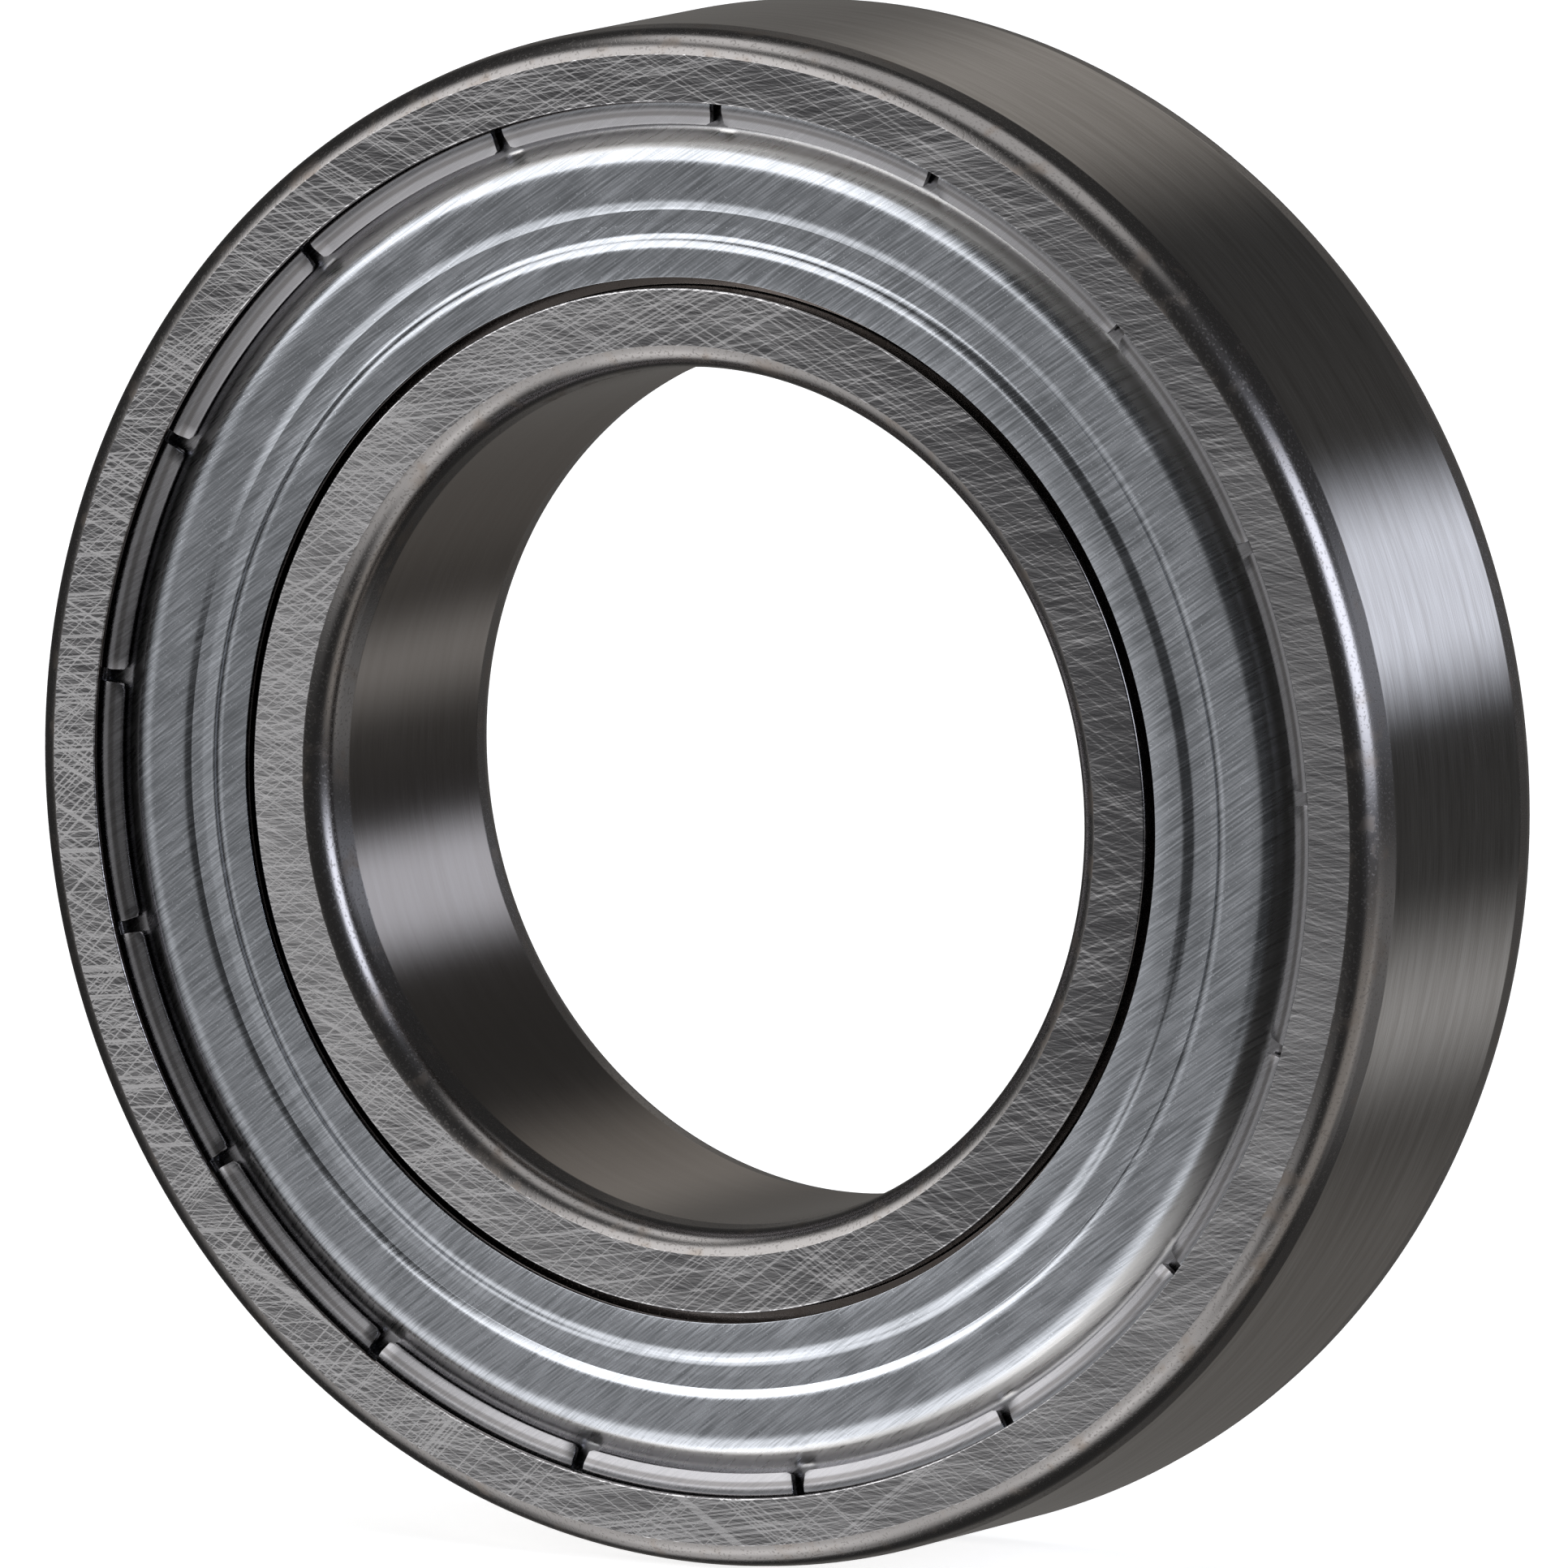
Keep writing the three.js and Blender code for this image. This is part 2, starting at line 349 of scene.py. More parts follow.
def ring_steel(name, face_inner, face_outer, ground_radius, painted_glint_x, painted_glint_z, dulled):
    """Bearing steel: cross-ground side faces, a ground cylinder, and turned corners between.

    A face is painted paler along X and Z, and its strokes brighter towards -X: a painted highlight
    where cross grinding catches the light. It is painted into the finish, so it turns with the ring.
    A dulled cylinder is darker and rougher.
    """
    ground_half = HALF_WIDTH - LEAD_AXIAL
    f = Finish(name)
    ragged = (f.grain((0.5, 0.5, 0.5), 3.0) - 0.5) * 0.12
    face = (f.radius + ragged).rise(face_inner - 0.02, face_inner + 0.02)
    face = face * (f.radius + ragged).rise(face_outer + 0.02, face_outer - 0.02)
    face = face * abs(f.y).rise(HALF_WIDTH - 0.06, HALF_WIDTH - 0.03)
    torn = (f.grain((2.5, 0.4, 2.5), 8.0) - 0.5) * 0.3
    ground = abs(f.y + torn).rise(ground_half + 0.05, ground_half - 0.05)
    ground = ground * abs(f.radius - ground_radius).rise(0.3, 0.1)
    turned = (1 - face) * (1 - ground)

    # Side faces: a haze of fine strokes, a lay of shorter ones that cross, and a few long ones.
    haze = f.scratches(6, 6.0, 0.08, 1.3) + f.scratches(-12, 7.0, 0.08, 2.6) - 1.0
    lay = f.scratches(18, 9.0, 0.11, 4.1, 0.002).rise(0.65, 0.71)
    lay = lay + f.scratches(-21, 10.0, 0.11, 5.2, -0.002).rise(0.65, 0.71)
    lay = lay + f.scratches(-3, 8.0, 0.10, 6.3).rise(0.63, 0.70)
    long = f.scratches(-30, 30, 0.14, 7.7, 0.001).rise(0.68, 0.72)
    long = long + f.scratches(11, 34, 0.14, 8.8, -0.001).rise(0.68, 0.72)
    long = long + f.scratches(34, 26, 0.14, 9.9, 0.003).rise(0.69, 0.73)
    patches = f.grain((9, 9, 9), 5.0, 1.0) - 0.5
    # Painted highlight: the faces are painted paler along X and Z, and their strokes brighter towards -X.
    painted_glint = (f.x * painted_glint_x + f.z * painted_glint_z) / OUTER_RADIUS
    painted_stroke_glint = 0.38 - f.x * 0.3 / OUTER_RADIUS
    face_tone = 0.05 + haze * 0.55 + (lay + long * 1.8) * painted_stroke_glint + patches * 0.4 + painted_glint
    face_color = f.blend(face_tone.rise(-0.5, 1.45), FACE_DARK, FACE_PALE)

    # Ground cylinder: fine rings left by the wheel, and broad bands.
    streak = f.grain((3.0, 0.045, 3.0), 11.0, 1.0)
    band = f.grain((14, 0.6, 14), 12.0)
    cylinder_tone = streak * 0.7 + band * 0.3
    cylinder_color = f.blend(cylinder_tone.rise(0.25, 0.75), CYLINDER_DARK, CYLINDER_PALE)
    cylinder_color = f.blend(dulled, cylinder_color, DULLED_BROWN)

    # Turned corners: heat tints and pits, and painted shade in the recesses where the shields sit.
    pits = f.grain((0.16, 0.16, 0.16), 14.0).rise(0.60, 0.72)
    tint = f.grain((1.8, 1.8, 1.8), 15.0, 2.0).rise(0.55, 0.75)
    recess_shade = f.radius.rise(RECESS_SHADE_INNER, RECESS_SHADE_INNER + 0.05)
    recess_shade = recess_shade * f.radius.rise(GROOVE_RADIUS + 0.06, GROOVE_RADIUS + 0.02)
    recess_shade = recess_shade * abs(f.y).rise(ground_half + 0.1, ground_half + 0.3)
    turned_color = f.blend(tint * 0.5, TURNED_GREY, TURNED_BROWN)
    turned_color = f.blend(pits * 0.3, turned_color, PIT_DARK)
    turned_color = f.blend(recess_shade * 0.8, turned_color, RECESS_SHADE_DARK)

    color = f.blend(ground, f.blend(face, turned_color, face_color), cylinder_color)
    face_roughness = 0.28 + haze * 0.12
    cylinder_roughness = 0.07 + streak * 0.09 + 0.08 * dulled
    roughness = 0.22 + tint * 0.1 + pits * 0.1
    roughness = roughness * (1 - face) + face_roughness * face
    roughness = roughness * (1 - ground) + cylinder_roughness * ground
    relief = long * face * 0.12 + streak * ground * 0.25 - pits * turned * 0.4
    return f.steel(color, roughness, relief, 0.003)


ring_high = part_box("outer_ring")[1]
ball_low, ball_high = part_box("ball_01")
OUTER_RADIUS = ring_high.x / MM
HALF_WIDTH = ring_high.y / MM
BALL_RADIUS = (ball_high.x - ball_low.x) / 2 / MM
PITCH_RADIUS = (ball_high.x + ball_low.x) / 2 / MM
RUNNING_CLEARANCE = 0.02
RACEWAY_FIT = 1.04
RACEWAY_STEPS = 12
RING_STEPS = 288

CORNER_RADIAL = 1.55
CORNER_EASE = 1.95
CORNER_BREAK_RADIAL = 1.25
CORNER_BREAK_AXIAL = 0.42
LEAD_AXIAL = 2.7
LIP_RADIUS = 40.7
LIP_DEPTH = 0.3
GROOVE_RADIUS = 41.9
GROOVE_TOP = 0.6
SEAT_DEPTH = 2.4
OUTER_SHOULDER = 38.9
RECESS_SHADE_INNER = 29.93
FRONT = -HALF_WIDTH

FACE_DARK = (0.14, 0.138, 0.145, 1)
FACE_PALE = (1.0, 0.985, 1.0, 1)
CYLINDER_DARK = (0.44, 0.415, 0.395, 1)
CYLINDER_PALE = (0.66, 0.64, 0.625, 1)
DULLED_BROWN = (0.30, 0.265, 0.24, 1)
TURNED_GREY = (0.32, 0.305, 0.30, 1)
TURNED_BROWN = (0.31, 0.25, 0.205, 1)
PIT_DARK = (0.18, 0.165, 0.155, 1)
# Painted shade for the recesses behind the shields.
RECESS_SHADE_DARK = (0.18, 0.15, 0.135, 1)


def ring_edge(cylinder, side):
    """The edge of a ring from its ground face, round the turned corner and along the lead."""
    broken = cylinder - side * (CORNER_RADIAL - CORNER_BREAK_RADIAL)
    return [
        (cylinder - side * CORNER_RADIAL, FRONT, 0.03),
        (broken, FRONT + CORNER_BREAK_AXIAL, CORNER_EASE),
        (cylinder, FRONT + LEAD_AXIAL, 1.0),
    ]


outer_half = raceway(OUTER_SHOULDER, 1) + [
    (OUTER_SHOULDER, FRONT + SEAT_DEPTH, 0.2),
    (GROOVE_RADIUS, FRONT + SEAT_DEPTH, 0.15),
    (GROOVE_RADIUS, FRONT + GROOVE_TOP, 0.1),
    (LIP_RADIUS, FRONT + LIP_DEPTH, 0.04),
    (LIP_RADIUS, FRONT, 0.1),
    *ring_edge(OUTER_RADIUS, 1),
]
turned_ring = ring_tree()
outer_steel = ring_steel(
    "outer_ring_steel",
    face_inner=LIP_RADIUS,
    face_outer=OUTER_RADIUS - CORNER_RADIAL,
    ground_radius=OUTER_RADIUS,
    # Painted highlight on the faces, paler towards the bottom.
    painted_glint_x=0.04,
    painted_glint_z=-0.22,
    dulled=0.0,
)
outer_section = line_mesh("outer_ring_section", eased(both_sides(outer_half)))
outer_ring = shaped("outer_ring_turned", turned_ring, outer_section, Steps=RING_STEPS, Material=outer_steel)
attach(outer_ring, "outer_ring")
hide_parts("outer_ring")


# ---------------------------------------------------------------------------------------------
# Inner ring: the same steel and the same way of working. It is ground in the bore, which fits
# the shaft. A step outside each face leaves room for the edge of the shield. It turns.
# ---------------------------------------------------------------------------------------------
INNER_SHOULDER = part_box("inner_ring")[1].x / MM
BORE_RADIUS = 25.0
FACE_RADIUS = 29.9
STEP_DEPTH = 1.7

inner_half = raceway(INNER_SHOULDER, -1) + [
    (INNER_SHOULDER, FRONT + STEP_DEPTH, 0.15),
    (FACE_RADIUS, FRONT + STEP_DEPTH, 0.1),
    (FACE_RADIUS, FRONT, 0.14),
    *ring_edge(BORE_RADIUS, -1),
]
inner_steel = ring_steel(
    "inner_ring_steel",
    face_inner=BORE_RADIUS + CORNER_RADIAL,
    face_outer=FACE_RADIUS,
    ground_radius=BORE_RADIUS,
    # Painted highlight on the faces, paler towards -X.
    painted_glint_x=-0.6,
    painted_glint_z=-0.10,
    dulled=0.75,
)
inner_section = line_mesh("inner_ring_section", eased(both_sides(inner_half)))
inner_ring = shaped("inner_ring_turned", turned_ring, inner_section, Steps=RING_STEPS, Material=inner_steel)
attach(inner_ring, "inner_ring")
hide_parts("inner_ring")


# ---------------------------------------------------------------------------------------------
# Balls: hardened chrome steel, lapped to a mirror. Each rolls in both raceways and turns in its
# own pocket of the cage, so each is a piece on its own body.
# ---------------------------------------------------------------------------------------------
def ball_tree():
    plan = ShapePlan("lapped_ball", "Radius", "Pitch", "Angle")
    radius, pitch, angle = (plan.given.out(size) for size in ("Radius", "Pitch", "Angle"))
    sphere = plan.node("GeometryNodeMeshIcoSphere", {}, {"Radius": radius, "Subdivisions": 5})
    place = around_axis(plan, pitch, 0.0, angle)
    moved = plan.node("GeometryNodeTransform", {}, {0: sphere, "Translation": place})
    return plan.deliver(moved)


def lapped_steel():
    f = Finish("lapped_ball_steel")
    marks = f.grain((0.9, 0.05, 0.9), 21.0, 2.0)
    cloud = f.grain((4, 4, 4), 22.0, 2.0)
    color = f.blend(cloud.rise(0.3, 0.7), BALL_DARK, BALL_PALE)
    return f.steel(color, 0.06 + marks * 0.06, marks, 0.0004)


BALL_DARK = (0.58, 0.58, 0.59, 1)
BALL_PALE = (0.68, 0.68, 0.69, 1)
BALL_COUNT = sum(node.startswith("ball_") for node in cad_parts)
ball_shape = ball_tree()
ball_steel = lapped_steel()
for index in range(BALL_COUNT):
    node = f"ball_{index + 1:02d}"
    ball = shaped(
        node + "_lapped",
        ball_shape,
        bpy.data.meshes.new(node),
        Radius=BALL_RADIUS * MM,
        Pitch=PITCH_RADIUS * MM,
        Angle=index * math.tau / BALL_COUNT,
        Material=ball_steel,
    )
    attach(ball, node)
    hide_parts(node)


# ---------------------------------------------------------------------------------------------
# Cage: two ribbons pressed from mild steel strip, with half of each ball pocket in either one.
# They meet between the balls. The cage keeps the balls apart and is carried round by them.
# ---------------------------------------------------------------------------------------------
def repeated(plan, geometry, count, start):
    """Copies of a shape, set round the Y axis at equal angles."""
    points = plan.node("GeometryNodePoints", {}, {"Count": count})
    angle = plan.node("GeometryNodeInputIndex") * math.tau / count + start
    turn = plan.vector(0.0, angle * -1, 0.0)
    return plan.node("GeometryNodeInstanceOnPoints", {}, {0: points, "Instance": geometry, "Rotation": turn})


def cage_tree():
    """One pitch of ribbon, bulged over its ball, then repeated round the axis."""
    plan = ShapePlan("pressed_ribbon", "Count", "Inner", "Outer", "Pitch", "Pocket", "Joint", "Blend", "Side")
    count, inner, outer = (plan.given.out(size) for size in ("Count", "Inner", "Outer"))
    pitch, pocket, joint = (plan.given.out(size) for size in ("Pitch", "Pocket", "Joint"))
    blend, side = plan.given.out("Blend"), plan.given.out("Side")
    grid = plan.node(
        "GeometryNodeMeshGrid", {}, {"Size X": 1.0, "Size Y": 1.0, "Vertices X": 49, "Vertices Y": 9}
    )
    part = plan.node("ShaderNodeSeparateXYZ", {}, {0: plan.node("GeometryNodeInputPosition")})
    angle = part * math.tau / count
    radius = (inner + outer) / 2 + part.out(1) * (outer - inner)
    along, across = angle * pitch, radius - pitch
    bulge = (pocket * pocket - along * along - across * across).at_least(0.0) ** 0.5
    height = plan.node("ShaderNodeMath", {"operation": "SMOOTH_MAX"}, {0: bulge, 1: joint, 2: blend})
    place = around_axis(plan, radius, height * side, angle)
    moved = plan.node("GeometryNodeSetPosition", {}, {0: grid, "Position": place})
    return plan.deliver(repeated(plan, moved, count, 0.0))


def pressed_steel(name, dark, light, roughness):
    f = Finish(name)
    drawn = f.scratches(70, 2.5, 0.12, 31.0) + f.scratches(-15, 1.5, 0.15, 32.0) - 1.0
    cloud = f.grain((1.6, 1.6, 1.6), 33.0, 2.0)
    color = f.blend((cloud + drawn * 0.8).rise(0.2, 0.8), dark, light)
    return f.steel(color, roughness + cloud * 0.12, drawn + cloud * 0.5, 0.003)


CAGE_THICKNESS = 0.85
CAGE_JOINT_GAP = 0.15
CAGE_INNER_RADIUS = 32.6
CAGE_OUTER_RADIUS = 37.4
POCKET_CLEARANCE = 0.3
POCKET_BLEND = 0.8

cage_shape = cage_tree()
cage_steel = pressed_steel("pressed_cage_steel", (0.34, 0.33, 0.31, 1), (0.52, 0.50, 0.48, 1), 0.32)
sheet_middle = CAGE_THICKNESS / 2
cage_finish = (
    ("SOLIDIFY", {"thickness": CAGE_THICKNESS * MM, "offset": 0.0, "use_even_offset": True}),
    ("BEVEL", {"width": 0.08 * MM, "segments": 2, "angle_limit": math.radians(50)}),
)
for side, name in ((-1.0, "cage_half_front"), (1.0, "cage_half_rear")):
    half = shaped(
        name + "_pressed",
        cage_shape,
        bpy.data.meshes.new(name),
        cage_finish,
        Count=BALL_COUNT,
        Inner=CAGE_INNER_RADIUS * MM,
        Outer=CAGE_OUTER_RADIUS * MM,
        Pitch=PITCH_RADIUS * MM,
        Pocket=(BALL_RADIUS + POCKET_CLEARANCE + sheet_middle) * MM,
        Joint=(CAGE_JOINT_GAP + sheet_middle) * MM,
        Blend=POCKET_BLEND * MM,
        Side=side,
        Material=cage_steel,
    )
    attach(half, "cage")
    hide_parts(name)


# ---------------------------------------------------------------------------------------------
# Cage rivets: soft steel pins with a low round head at each end, one through the flat between
# each pair of balls. They draw the two ribbons together.
# ---------------------------------------------------------------------------------------------
def rivet_tree():
    plan = ShapePlan("rivets_round_cage", "Count", "Pitch", "Start")
    count = plan.given.out("Count")
    place = plan.vector(plan.given.out("Pitch"), 0.0, 0.0)
    rivet = plan.node("GeometryNodeTransform", {}, {0: plan.given.out("Geometry"), "Translation": place})
    return plan.deliver(repeated(plan, rivet, count, plan.given.out("Start")))


RIVET_RADIUS = 1.1
HEAD_RADIUS = 1.9
HEAD_HEIGHT = 0.8
HEAD_GAP = 0.05
RIVET_STEPS = 24

head_seat = CAGE_JOINT_GAP + CAGE_THICKNESS + HEAD_GAP
head_half = [
    (RIVET_RADIUS, -head_seat, 0),
    (HEAD_RADIUS, -head_seat, 0.08),
    (HEAD_RADIUS * 0.93, -head_seat - HEAD_HEIGHT * 0.5, 0.3),
    (HEAD_RADIUS * 0.5, -head_seat - HEAD_HEIGHT, 0.6),
    (0, -head_seat - HEAD_HEIGHT, 0),
]
rivet_line = eased(head_half[::-1] + [(x, -y, ease) for x, y, ease in head_half], closed=False)
rivet_steel = pressed_steel("headed_rivet_steel", (0.42, 0.40, 0.37, 1), (0.60, 0.58, 0.55, 1), 0.26)
rivet_section = line_mesh("rivet_section", rivet_line)
one_rivet = shaped("one_rivet", turned_ring, rivet_section, Steps=RIVET_STEPS, Material=rivet_steel)
rivets = shaped(
    "cage_rivets_headed",
    rivet_tree(),
    one_rivet.data,
    Count=BALL_COUNT,
    Pitch=PITCH_RADIUS * MM,
    Start=math.pi / BALL_COUNT,
    Material=rivet_steel,
)
bpy.data.objects.remove(one_rivet)
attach(rivets, "cage")
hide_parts(*(f"cage_rivet_{index + 1:02d}" for index in range(BALL_COUNT)))


# ---------------------------------------------------------------------------------------------
# Shields: galvanized sheet, pressed into a shallow dished ring. The rim is slit into tabs and
# curled outwards and back, and springs into the outer ring's groove. Neither shield turns, and
# its inner edge stays clear of the inner ring.
# ---------------------------------------------------------------------------------------------
def shield_tree():
    """Turns the middle line of the sheet about Y and cuts the slits between the tabs.

    Each pitch has its own columns of points: a narrow gap between the last column of one tab
    and the first of the next, which is left closed up to the slit and cut away past it. Near
    the free edge the tabs narrow, so that the slit opens out.
    """
    plan = ShapePlan(
        "slit_shield", "Count", "Columns", "Slit Width", "Slit Length", "Corner", "Start", "Side"
    )
    section, count, columns = (plan.given.out(size) for size in ("Geometry", "Count", "Columns"))
    width, length, easing = (plan.given.out(size) for size in ("Slit Width", "Slit Length", "Corner"))
    around = count * columns + 1
    rows = plan.node("GeometryNodeAttributeDomainSize", {"component": "MESH"}, {0: section})
    grid = plan.node("GeometryNodeMeshGrid", {}, {"Vertices X": rows, "Vertices Y": around})
    index = plan.node("GeometryNodeInputIndex")
    row = index.math("FLOOR", (index + 0.5) / around)
    column = index - row * around
    tab = index.math("FLOOR", (column + 0.5) / columns)
    local = column - tab * columns

    kept = plan.node("GeometryNodeInputNamedAttribute", {"data_type": "FLOAT"}, {"Name": "from_edge"})
    reach = plan.node("GeometryNodeSampleIndex", {}, {0: section, "Value": kept, "Index": row})
    place = on_section(plan, section, row)

    cut = (easing - reach).at_least(0.0)
    narrowed = easing - (easing * easing - cut * cut).at_least(0.0) ** 0.5
    half_pitch = math.pi / count
    half_tab = half_pitch - (width / 2 + narrowed) / place
    across = local * 2 / (columns - 1) - 1
    angle = plan.given.out("Start") + (tab * 2 + 1) * half_pitch + across * half_tab
    turned = around_axis(plan, place, place.out(1) * plan.given.out("Side"), angle)
    moved = plan.node("GeometryNodeSetPosition", {}, {0: grid, "Position": turned})

    at_slit = abs(across).rise(0.97, 0.99) * reach.rise(length + 0.01 * MM, length - 0.01 * MM)
    on_points = plan.node("GeometryNodeFieldOnDomain", {"domain": "POINT"}, {0: at_slit})
    slit = on_points.math("GREATER_THAN", on_points, 0.9)
    open_rim = plan.node("GeometryNodeDeleteGeometry", {"domain": "FACE"}, {0: moved, "Selection": slit})
    return plan.deliver(open_rim)


def shield_zinc():
    """Zinc-coated sheet: cool grey, brushed on the slant before pressing, with faint clouds.

    The curled rim is worn from pressing, with painted shade down the middle of the tabs and a
    painted highlight along the crest of the curl. The wall inside it has painted shade at the sides and
    painted light above and below, and the sheet is painted paler towards the bottom.
    """
    f = Finish("galvanized_sheet")
    brush = f.scratches(38, 4.0, 0.12, 41.0, 0.001) + f.scratches(33, 2.6, 0.10, 42.0) - 1.0
    cross = f.scratches(-30, 4.0, 0.13, 43.0).rise(0.62, 0.74)
    long = f.scratches(36, 12, 0.12, 44.0).rise(0.66, 0.71)
    cloud = f.grain((2.2, 2.2, 2.2), 45.0, 2.0) - 0.5
    specks = f.grain((0.13, 0.13, 0.13), 46.0).rise(0.76, 0.80)
    wall = f.radius.rise(37.8, 38.2) * f.radius.rise(39.3, 39.0)
    # Painted shade down the middle of the tabs.
    crease_shade = f.radius.rise(39.75, 39.92) * f.radius.rise(40.22, 40.05)
    # Painted highlight along the crest of the curl.
    fold_highlight = f.radius.rise(40.35, 40.55) * f.radius.rise(40.85, 40.65)
    worn = f.radius.rise(39.0, 39.3) * (1 - fold_highlight * 0.7)

    tone = 0.42 + brush * 0.6 * (1 - worn * 0.5) + cross * 0.08 + long * 0.2 + cloud * 0.45
    # Painted light: the sheet is painted paler towards the bottom.
    tone = tone + specks * 0.5 + (f.z * -1).rise(5.0, 40.0) * 0.25 + fold_highlight * 0.5
    color = f.blend(tone.rise(0, 1), ZINC_DARK, ZINC_PALE)
    # Painted shade at the sides of the wall, and painted light above and below.
    wall_light_and_shade = f.blend(abs(f.z).rise(12.0, 34.0), WALL_PAINTED_SHADE, WALL_PAINTED_LIGHT)
    color = f.blend(wall * 0.8, color, wall_light_and_shade)
    color = f.blend(worn * 0.8, color, RIM_WORN)
    # Painted shade down the middle of the tabs.
    color = f.blend(crease_shade * 0.6, color, CREASE_SHADE)

    roughness = 0.2 + brush * 0.1 + cloud * 0.08 + worn * 0.07 + wall * 0.1
    relief = brush * 0.25 * (1 - worn * 0.6) * (1 - wall * 0.8)
    relief = relief + long * 0.2 + cloud * 0.2 + specks * 0.5
    return f.steel(color, roughness, relief, 0.0025)


SHEET = 0.45
SHIELD_INNER = 30.5
TAB_COUNT = 17
TAB_COLUMNS = 17
SLIT_WIDTH = 0.75
SLIT_LENGTH = 2.2
TAB_CORNER = 0.4
FIRST_SLIT = 3.95

ZINC_DARK = (0.38, 0.40, 0.43, 1)
ZINC_PALE = (0.76, 0.79, 0.85, 1)
# Painted shade and painted light for the wall inside the curl.
WALL_PAINTED_SHADE = (0.17, 0.16, 0.15, 1)
WALL_PAINTED_LIGHT = (0.84, 0.82, 0.80, 1)
RIM_WORN = (0.33, 0.317, 0.325, 1)
# Painted shade down the middle of the tabs.
CREASE_SHADE = (0.12, 0.11, 0.105, 1)

# Radius, depth below the ring faces and easing radius of the middle of the sheet, first over
# the pan with its pressed channel, then round the curl in the groove and back along the tab.
pan = [
    (SHIELD_INNER, 0.375, 0),
    (32.30, 0.375, 0.85),
    (32.79, 0.70, 0.9),
    (33.80, 0.79, 2.5),
    (34.46, 0.75, 0.25),
    (34.87, 0.54, 1.1),
    (37.58, 0.465, 1.9),
    (38.95, 1.62, 0.8),
]
curl = [
    (41.28, 1.82, 0.34),
    (41.28, 1.02, 0.26),
    (40.45, 0.77, 0.8),
    (39.55, 1.03, 0),
    (39.4, 1.08, 0),
]
sheet_line = eased([(x, FRONT + depth, ease) for x, depth, ease in pan + curl], closed=False)
lengths = [0.0]
for index in range(len(sheet_line) - 1, 0, -1):
    lengths.insert(0, lengths[0] + (Vector(sheet_line[index]) - Vector(sheet_line[index - 1])).length)

shield_shape = shield_tree()
zinc = shield_zinc()
shield_finish = (
    ("SOLIDIFY", {"thickness": SHEET * MM, "offset": 0.0, "use_even_offset": True}),
    ("BEVEL", {"width": 0.07 * MM, "segments": 3, "angle_limit": math.radians(60)}),
)
for side, name in ((1.0, "front_shield"), (-1.0, "rear_shield")):
    sizes = {
        "Count": TAB_COUNT,
        "Columns": TAB_COLUMNS,
        "Slit Width": SLIT_WIDTH * MM,
        "Slit Length": SLIT_LENGTH * MM,
        "Corner": TAB_CORNER * MM,
        "Start": math.radians(FIRST_SLIT),
        "Side": side,
        "Material": zinc,
    }
    shield_line = line_mesh(name + "_line", sheet_line, lengths)
    shield = shaped(name + "_pressed", shield_shape, shield_line, shield_finish, **sizes)
    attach(shield, "outer_ring")
    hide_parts(name)


# ---------------------------------------------------------------------------------------------
# Studio: a plain white floor under the bearing, soft panels round it that only its metal
# reflects, and a long lens to the right of the front face, a little above the middle.
# ---------------------------------------------------------------------------------------------
def direction(azimuth, elevation):
    """A direction from the bearing, with azimuth 0 along +X and 90 along +Y."""
    a, e = math.radians(azimuth), math.radians(elevation)
    return Vector((math.cos(a) * math.cos(e), math.sin(a) * math.cos(e), math.sin(e)))


def panel(turn, rise, azimuth, elevation, width, height, soft_side, soft_top):
    """How much of a soft-edged panel lies in a direction. Its place and size are in degrees."""
    aside, above = abs(turn - azimuth), abs(rise - elevation)
    across = aside.rise(width / 2 + soft_side, width / 2 - soft_side)
    return across * above.rise(height / 2 + soft_top, height / 2 - soft_top)


def light(strength, color=(1.0, 1.0, 1.0)):
    return tuple(strength * part for part in color)


COOL = (0.90, 0.96, 1.10)
WARM = (1.06, 1.0, 0.93)
ROOM_LIGHT = 0.045
# The turn of a ray is measured from this azimuth, so that the seam lies behind the bearing.
MIDDLE_AZIMUTH = -30
world = bpy.data.worlds.new("studio")
bpy.context.scene.world = world
world.use_nodes = True
sky = Plan(world.node_tree)
sky.tree.nodes.clear()
ray = sky.node("ShaderNodeTexCoord", {}, {}, "Generated")
ahead = direction(MIDDLE_AZIMUTH, 0)
beside = direction(MIDDLE_AZIMUTH + 90, 0)
turn = sky.vector_math("DOT_PRODUCT", ray, beside, "Value")
turn = turn.math("ARCTAN2", turn, sky.vector_math("DOT_PRODUCT", ray, ahead, "Value"))
turn = turn * math.degrees(1) + MIDDLE_AZIMUTH
rise = sky.vector_math("DOT_PRODUCT", ray, (0, 0, 1), "Value")
rise = rise.math("ARCSINE", rise) * math.degrees(1)
total = light(ROOM_LIGHT)
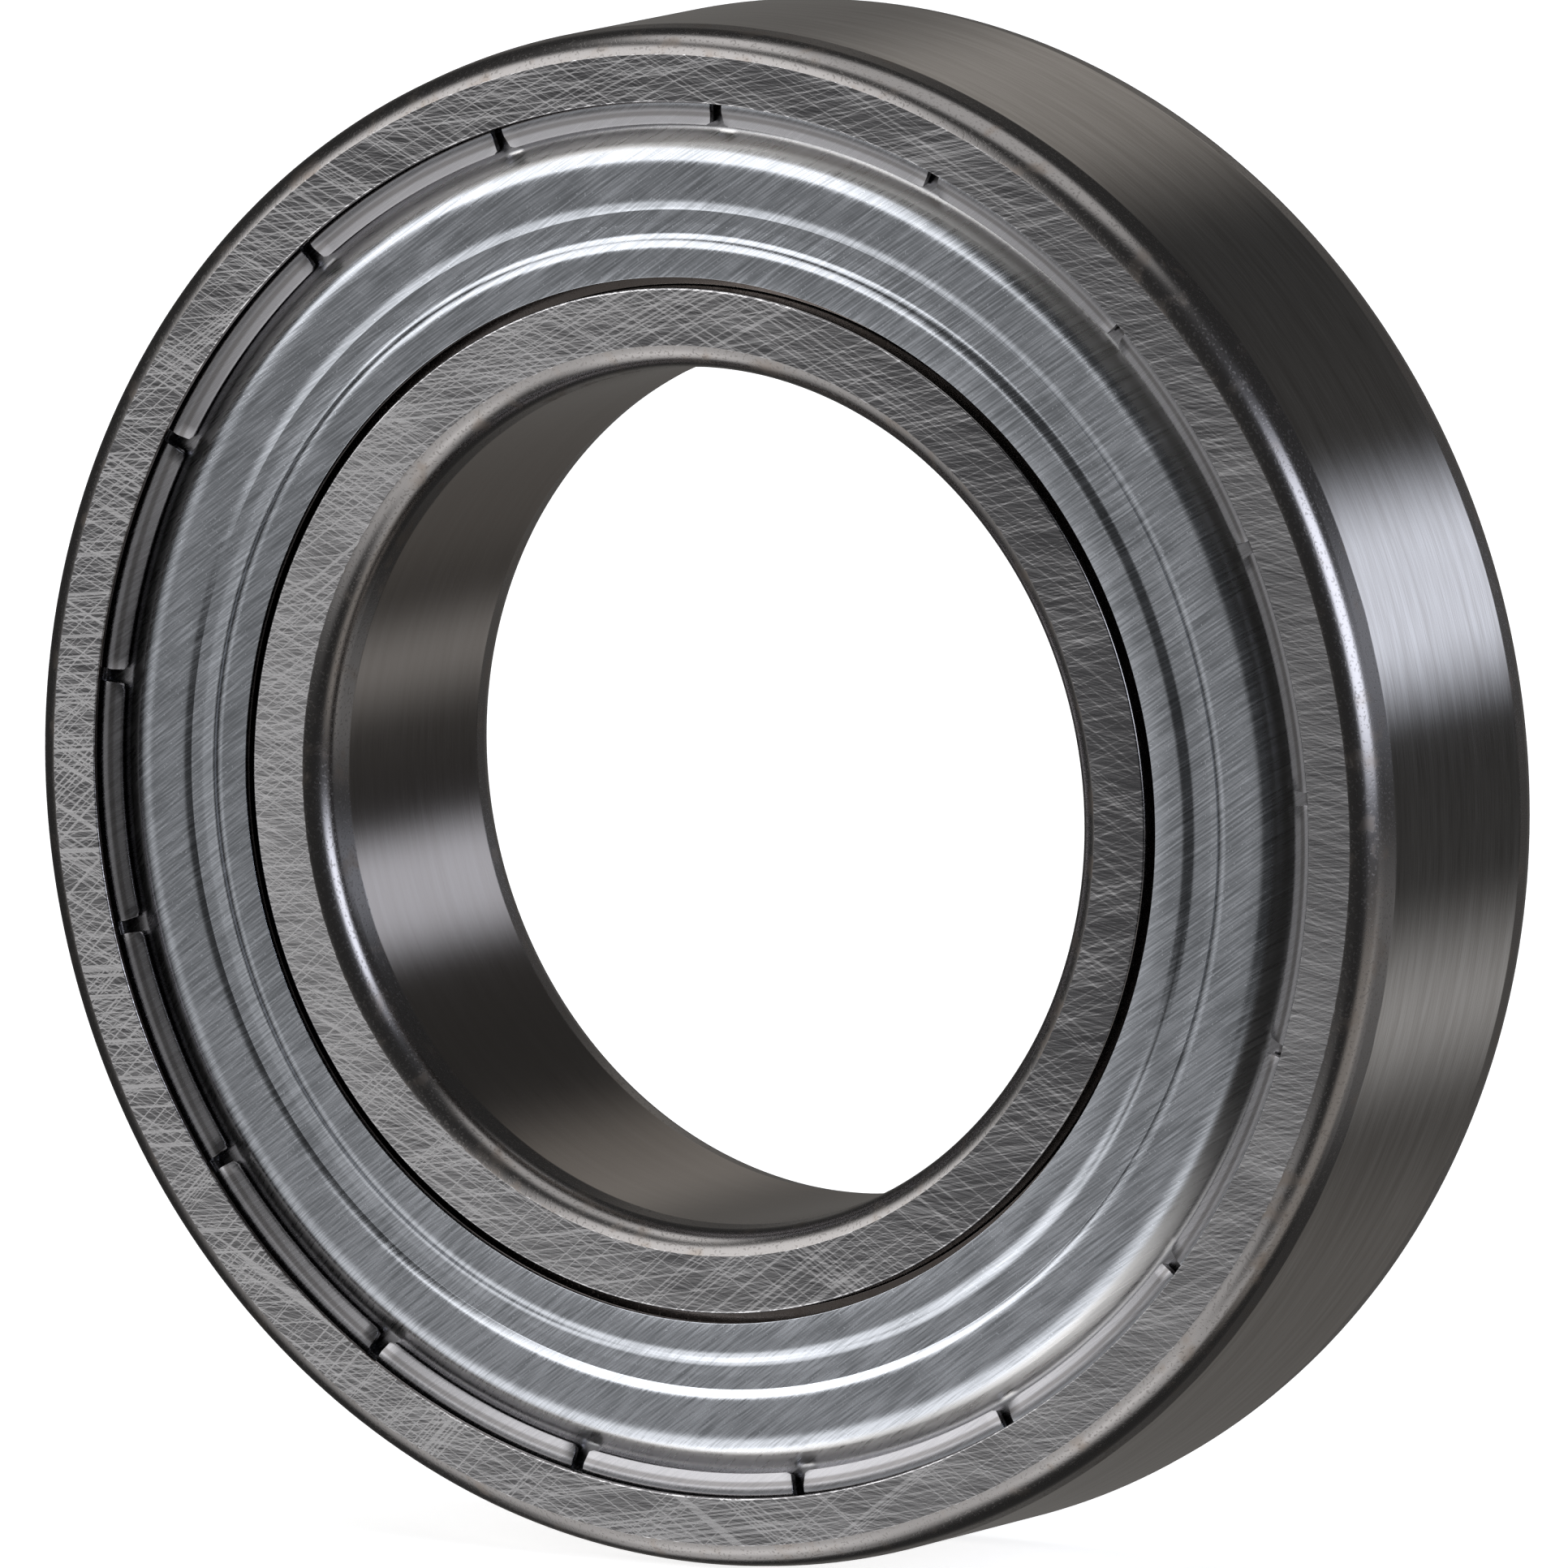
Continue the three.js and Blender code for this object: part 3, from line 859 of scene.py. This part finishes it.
for place, brightness in (
    # Azimuth, elevation, width, height, softness sideways and upwards, all in degrees.
    ((-130, 27, 50, 34, 8, 4), light(1.85)),
    ((-168, 60, 60, 14, 8, 4), light(1.4)),
    ((-165, -62, 80, 22, 10, 6), light(0.9)),
    ((-116, -45, 94, 36, 16, 11), light(1.0)),
    ((-118, -8, 56, 50, 10, 8), light(0.21)),
    ((-145, -6, 30, 34, 6, 8), light(0.24)),
    ((-5, 20, 40, 34, 5, 6), light(3.3, COOL)),
    ((60, 11, 14, 14, 4, 4), light(1.1, COOL)),
    ((34, 11, 42, 16, 6, 5), light(0.4, COOL)),
    ((2, -38, 48, 44, 8, 7), light(0.45, WARM)),
    ((-58, -62, 80, 24, 12, 6), light(0.9)),
    ((-30, 82, 400, 34, 1, 6), light(0.9)),
    ((65, -20, 12, 10, 5, 5), light(0.35)),
    ((106, 25, 24, 16, 8, 7), light(0.25, WARM)),
    ((35, -22, 38, 26, 8, 8), light(0.3)),
    ((104, -10, 60, 60, 14, 10), light(0.09, WARM)),
):
    seen_part = panel(turn, rise, *place)
    shine = sky.node("ShaderNodeVectorMath", {"operation": "SCALE"}, {0: brightness, "Scale": seen_part})
    total = sky.vector_math("ADD", total, shine)
seen = sky.node("ShaderNodeLightPath", {}, {}, "Is Camera Ray")
shown = sky.blend(seen, total, (1, 1, 1, 1))
background = sky.node("ShaderNodeBackground", {}, {"Color": shown, "Strength": 1.0})
sky.node("ShaderNodeOutputWorld", {}, {"Surface": background})

FLOOR_REACH = 12.0
PAPER_WHITE = (0.9, 0.9, 0.9, 1)
PAPER_GLOW = 0.78
floor_level = cad_box[0].z
floor_signs = ((-1, -1), (1, -1), (1, 1), (-1, 1))
floor_corners = [(x * FLOOR_REACH, y * FLOOR_REACH, floor_level) for x, y in floor_signs]
floor_mesh = bpy.data.meshes.new("floor")
floor_mesh.from_pydata(floor_corners, [], [(0, 1, 2, 3)])
floor = bpy.data.objects.new("floor", floor_mesh)
bpy.context.scene.collection.objects.link(floor)
paper = bpy.data.materials.new("white_paper")
paper.use_nodes = True
pulp = Plan(paper.node_tree)
pulp.tree.nodes.clear()
diffuse = pulp.node("ShaderNodeBsdfDiffuse", {}, {"Color": PAPER_WHITE})
glow = pulp.node("ShaderNodeEmission", {}, {"Color": (1, 1, 1, 1), "Strength": PAPER_GLOW})
both = pulp.node("ShaderNodeAddShader", {}, {0: diffuse, 1: glow})
pulp.node("ShaderNodeOutputMaterial", {}, {"Surface": both})
floor_mesh.materials.append(paper)
floor.visible_glossy = False

VIEW_TURN = 30.23
VIEW_RISE = 7.62
VIEW_DISTANCE = 2.53
AIM_RIGHT = 0.05
AIM_UP = -0.14
LONG_LENS = 1000
back = direction(VIEW_TURN - 90, VIEW_RISE)
right = back.cross(Vector((0, 0, -1))).normalized()
up = back.cross(right)
aim = (cad_box[0] + cad_box[1]) / 2 + (right * AIM_RIGHT + up * AIM_UP) * MM
camera_data = bpy.data.cameras.new("camera")
camera_data.lens = LONG_LENS
camera_data.sensor_width = 36
camera_data.clip_start = 0.1
camera_data.clip_end = 100
camera = bpy.data.objects.new("camera", camera_data)
camera.location = aim + back * VIEW_DISTANCE
camera.rotation_mode = "QUATERNION"
camera.rotation_quaternion = (-back).to_track_quat("-Z", "Y")
bpy.context.scene.collection.objects.link(camera)
bpy.context.scene.camera = camera
bpy.context.scene.view_settings.view_transform = "Standard"
